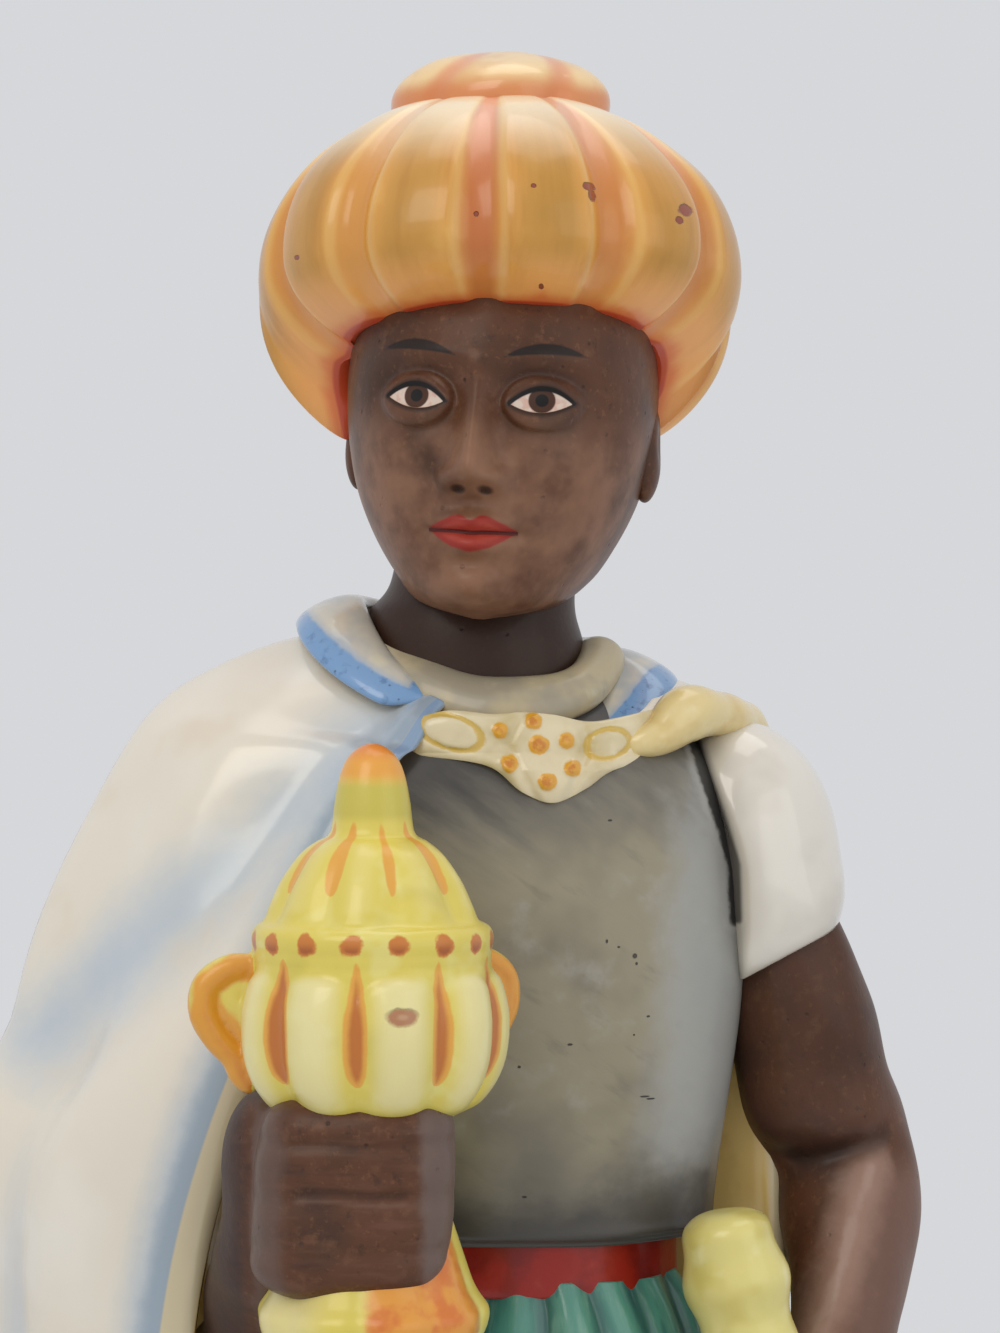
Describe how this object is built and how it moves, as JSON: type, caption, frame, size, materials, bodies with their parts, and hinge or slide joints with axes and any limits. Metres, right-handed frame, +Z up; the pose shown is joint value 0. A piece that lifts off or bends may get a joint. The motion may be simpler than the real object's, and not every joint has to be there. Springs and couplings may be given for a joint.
{
  "type": "presepe figure",
  "caption": "Glazed ceramic nativity king, standing in turban, cloak, cuirass and pleated robe, lifting a covered cup and resting a hand on a sword, cast in one with a low base",
  "frame": {"origin": "centre of the flat underside of the base", "axes": "+Z up along the figure's height, the figure faces -Y, +X to the wearer's left, which is the viewer's right"},
  "size_m": [0.1252, 0.0967, 0.32],
  "materials": {
    "painted_glaze": "hand-painted glaze over one ceramic casting: cream cloak with blue shading, ochre turban, dark brown skin, grey cuirass, yellow cup, red belt and green robe"
  },
  "bodies": {
    "root": {"king_figure": "painted_glaze"}
  },
  "joints": []
}
